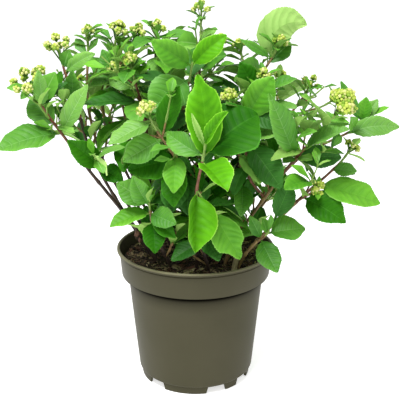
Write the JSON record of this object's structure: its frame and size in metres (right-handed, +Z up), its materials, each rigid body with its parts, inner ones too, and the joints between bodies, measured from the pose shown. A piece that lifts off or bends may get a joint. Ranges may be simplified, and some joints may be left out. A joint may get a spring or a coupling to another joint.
{
  "type": "panicle hydrangea in a nursery pot",
  "caption": "Young panicle hydrangea shrub in bud: leafy canes that rise from a compost-filled round nursery pot.",
  "frame": {"origin": "centre of the pot's underside, on the plane that it stands on", "axes": "+Z up along the pot's axis, +X to the right of the side that the picture shows, and -Y towards the viewer"},
  "size_m": [0.449, 0.3586, 0.4459],
  "materials": {
    "pot_plastic": "satin moulded plastic, taupe",
    "compost": "rough bark and peat mix, moist",
    "bark": "smooth young bark, brown",
    "leaves": "soft green leaf, slight sheen"
  },
  "bodies": {
    "root": {"compost": "compost", "foliage_back": "leaves", "foliage_back_left": "leaves", "foliage_back_low": "leaves", "foliage_back_low_right": "leaves", "foliage_back_right": "leaves", "foliage_bright": "leaves", "foliage_centre": "leaves", "foliage_far_left": "leaves", "foliage_fore_left": "leaves", "foliage_heart": "leaves", "foliage_heart_left": "leaves", "foliage_heart_low": "leaves", "foliage_hero": "leaves", "foliage_high_right": "leaves", "foliage_inner_left": "leaves", "foliage_inner_right": "leaves", "foliage_left": "leaves", "foliage_left_inner": "leaves", "foliage_left_side": "leaves", "foliage_low_front": "leaves", "foliage_low_left": "leaves", "foliage_mid_left": "leaves", "foliage_middle": "leaves", "foliage_rear_left": "leaves", "foliage_red": "leaves", "foliage_right": "leaves", "foliage_right_low": "leaves", "foliage_right_rear": "leaves", "foliage_right_rim": "leaves", "foliage_top": "leaves", "foliage_upper_right": "leaves", "pot": "pot_plastic", "stem_back": "bark", "stem_back_left": "bark", "stem_back_right": "bark", "stem_bright": "bark", "stem_centre": "bark", "stem_far_left": "bark", "stem_fore_left": "bark", "stem_hero": "bark", "stem_high_right": "bark", "stem_inner_left": "bark", "stem_left": "bark", "stem_left_inner": "bark", "stem_low_front": "bark", "stem_low_left": "bark", "stem_mid_left": "bark", "stem_middle": "bark", "stem_rear_left": "bark", "stem_right": "bark", "stem_right_low": "bark", "stem_right_rear": "bark", "stem_top": "bark"}
  },
  "joints": []
}
